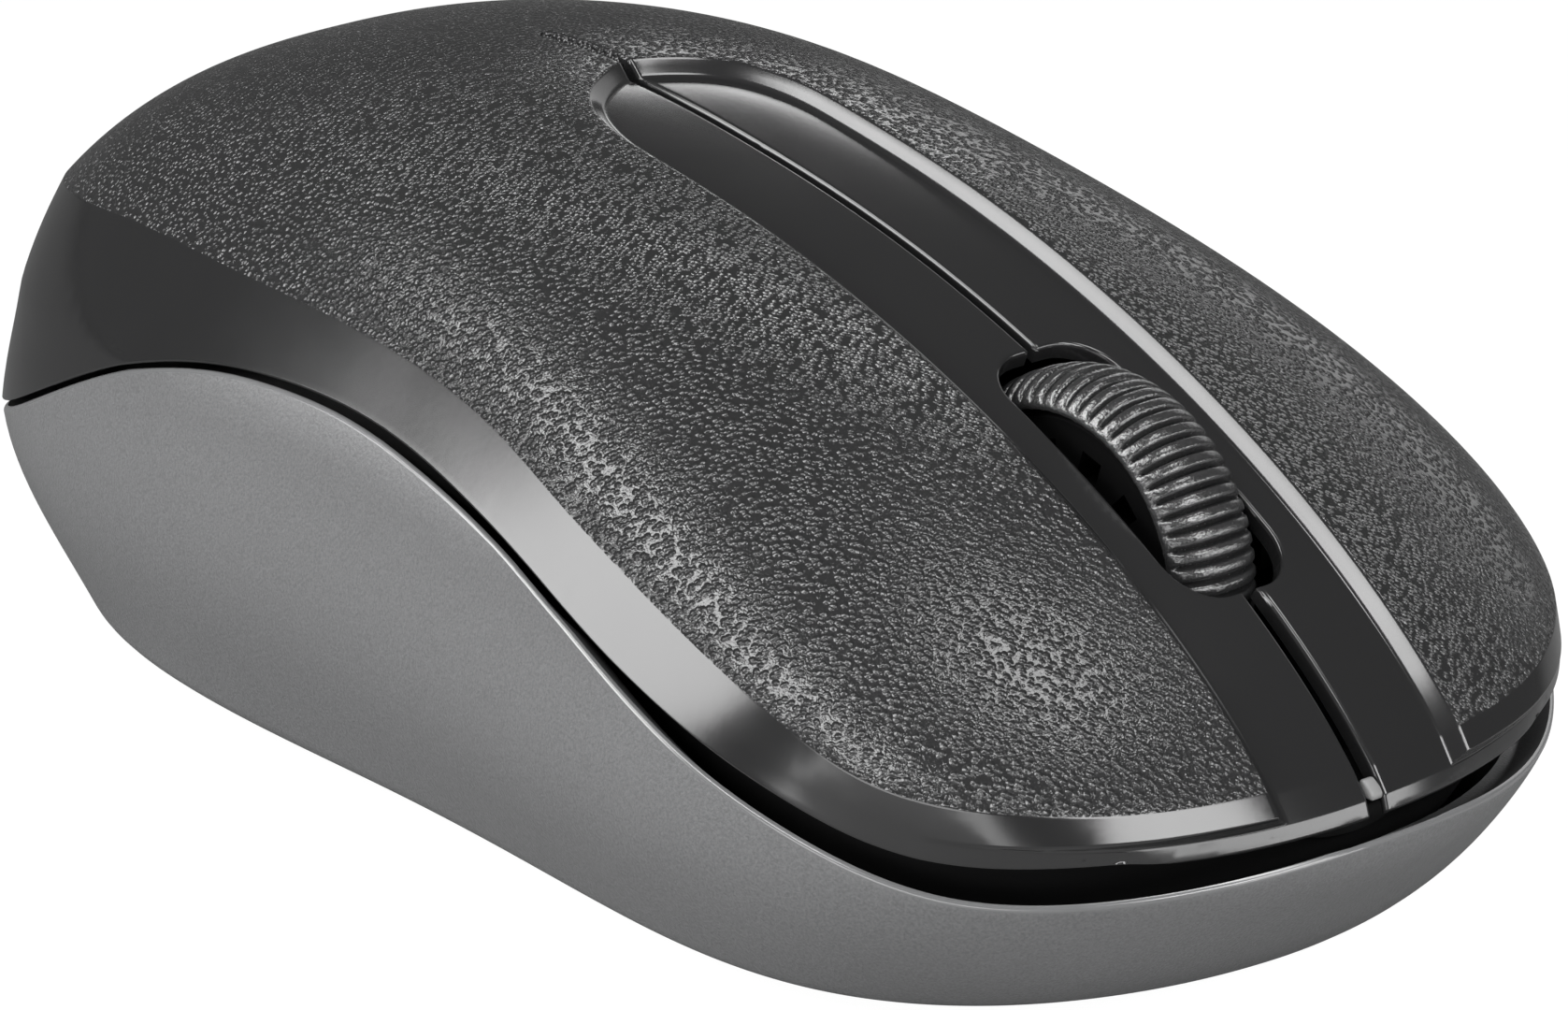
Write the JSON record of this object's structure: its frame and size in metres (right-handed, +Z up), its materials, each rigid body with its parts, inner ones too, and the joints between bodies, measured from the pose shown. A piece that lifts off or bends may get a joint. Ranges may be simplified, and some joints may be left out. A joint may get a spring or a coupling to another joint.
{
  "type": "computer mouse",
  "caption": "Compact wireless optical mouse with a pebble-shaped body, a grained two-button cover split by a recessed channel, a ribbed scroll wheel and a grey lower shell.",
  "frame": {"origin": "on the desk plane, under the middle of the body's bounding box", "axes": "+Z up; -Y to the front (buttons and wheel), +Y to the palm end; -X is the user's right when the hand is on the mouse"},
  "size_m": [0.0588, 0.1041, 0.0354],
  "materials": {
    "cover_plastic": "fine leather-grain moulded charcoal plastic with a smoother rim",
    "shell_plastic": "satin mid-grey moulded plastic",
    "frame_plastic": "matt black moulded plastic",
    "light_plastic": "light grey moulded plastic",
    "tyre_rubber": "fine-ribbed soft rubber",
    "foot_pad": "slippery low-friction pad",
    "switch_case": "moulded switch housing",
    "switch_plunger": "polished ivory plastic",
    "board": "solder-mask green laminate",
    "chip": "black moulded epoxy",
    "clear_lens": "clear moulded optics",
    "led": "water-clear lens, faint red",
    "steel": "nickel-plated steel",
    "cell_can": "bright plated can",
    "cell_sleeve": "plain shrink sleeve, no printing",
    "red_insulation": "red insulated wire",
    "black_insulation": "black insulated wire"
  },
  "bodies": {
    "base": {"lower_shell": "shell_plastic", "mid_frame": "frame_plastic", "palm_cover": "cover_plastic", "seam_rib": "light_plastic", "foot_front_left": "foot_pad", "foot_front_right": "foot_pad", "foot_rear_left": "foot_pad", "foot_rear_right": "foot_pad", "power_switch_body": "steel", "main_pcb": "board", "left_switch_body": "switch_case", "right_switch_body": "switch_case", "wheel_switch_body": "switch_case", "ir_emitter": "clear_lens", "ir_detector": "chip", "optical_sensor": "chip", "sensor_lens": "clear_lens", "sensor_led": "led", "radio_chip": "chip", "crystal": "steel", "capacitor": "chip", "pcb_screw_left": "steel", "pcb_screw_right": "steel", "case_screw_left": "steel", "case_screw_right": "steel", "battery_cell": "cell_can", "battery_sleeve": "cell_sleeve", "battery_spring": "steel", "battery_plus_contact": "steel", "red_wire": "red_insulation", "black_wire": "black_insulation"},
    "left_button_lever": {"left_button": "cover_plastic"},
    "right_button_lever": {"right_button": "cover_plastic"},
    "left_plunger": {"left_switch_plunger": "switch_plunger"},
    "right_plunger": {"right_switch_plunger": "switch_plunger"},
    "wheel_plunger": {"wheel_switch_plunger": "switch_plunger"},
    "wheel_yoke_slide": {"wheel_yoke": "light_plastic", "detent_spring": "steel"},
    "scroll_wheel": {"wheel_hub": "light_plastic", "wheel_tyre": "tyre_rubber"},
    "power_knob": {"power_switch_knob": "light_plastic"},
    "battery_hatch": {"battery_door": "shell_plastic"},
    "usb_receiver": {"receiver_cap": "switch_case", "receiver_plug_shell": "steel", "receiver_tongue": "chip"}
  },
  "joints": [
    {"name": "left_click", "type": "hinge", "parent": "base", "child": "left_button_lever", "pos_m": [0, 0.012, 0.0335], "axis": [1, 0, 0], "range_deg": [0, 0.57]},
    {"name": "right_click", "type": "hinge", "parent": "base", "child": "right_button_lever", "pos_m": [0, 0.012, 0.0335], "axis": [1, 0, 0], "range_deg": [0, 0.57]},
    {"name": "left_plunger_press", "type": "slide", "parent": "base", "child": "left_plunger", "axis": [0, 0, -1], "range_m": [0, 0.0005]},
    {"name": "right_plunger_press", "type": "slide", "parent": "base", "child": "right_plunger", "axis": [0, 0, -1], "range_m": [0, 0.0005]},
    {"name": "wheel_press", "type": "slide", "parent": "base", "child": "wheel_yoke_slide", "axis": [0, 0, -1], "range_m": [0, 0.0005]},
    {"name": "wheel_plunger_press", "type": "slide", "parent": "base", "child": "wheel_plunger", "axis": [0, 0, -1], "range_m": [0, 0.0005]},
    {"name": "wheel_spin", "type": "hinge", "parent": "wheel_yoke_slide", "child": "scroll_wheel", "pos_m": [0, -0.0284, 0.0187], "axis": [1, 0, 0], "continuous": true},
    {"name": "power_switch_slide", "type": "slide", "parent": "base", "child": "power_knob", "axis": [1, 0, 0], "range_m": [0, 0.0025]},
    {"name": "battery_door_swing", "type": "hinge", "parent": "base", "child": "battery_hatch", "pos_m": [0, -0.0079, 0.0012], "axis": [-1, 0, 0], "range_deg": [0, 65]},
    {"name": "receiver_pull", "type": "slide", "parent": "base", "child": "usb_receiver", "axis": [0, 0, -1], "range_m": [0, 0.022]}
  ],
  "couplings": [
    {"joint": "left_plunger_press", "follows": "left_click", "m_per_rad": 0.049},
    {"joint": "right_plunger_press", "follows": "right_click", "m_per_rad": 0.049},
    {"joint": "wheel_plunger_press", "follows": "wheel_press", "ratio": 1}
  ]
}
